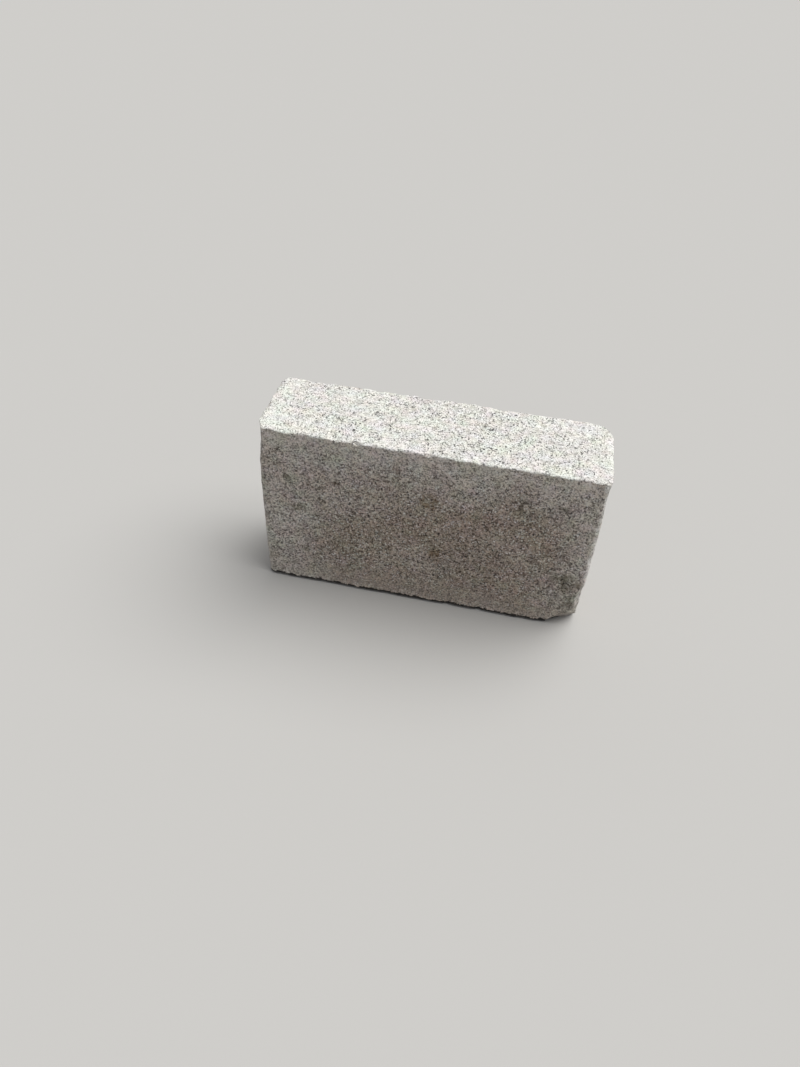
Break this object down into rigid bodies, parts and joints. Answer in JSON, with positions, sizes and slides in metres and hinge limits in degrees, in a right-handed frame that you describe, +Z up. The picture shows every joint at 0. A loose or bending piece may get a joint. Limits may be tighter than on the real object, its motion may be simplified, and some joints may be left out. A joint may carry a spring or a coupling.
{
  "type": "solid concrete block",
  "caption": "Solid dense concrete building block with light, open-textured faces, rounded arrises and a broken foot corner, standing on a long narrow side.",
  "frame": {"origin": "centre of the underside, on the level floor that the block stands on", "axes": "+X along the block's length, +Y through its thickness from the large face that shows to the one that is hidden, +Z up its height"},
  "size_m": [0.375, 0.1, 0.225],
  "materials": {
    "concrete": "matt, open sandy texture of dry-pressed concrete"
  },
  "bodies": {
    "root": {"block": "concrete"}
  },
  "joints": []
}
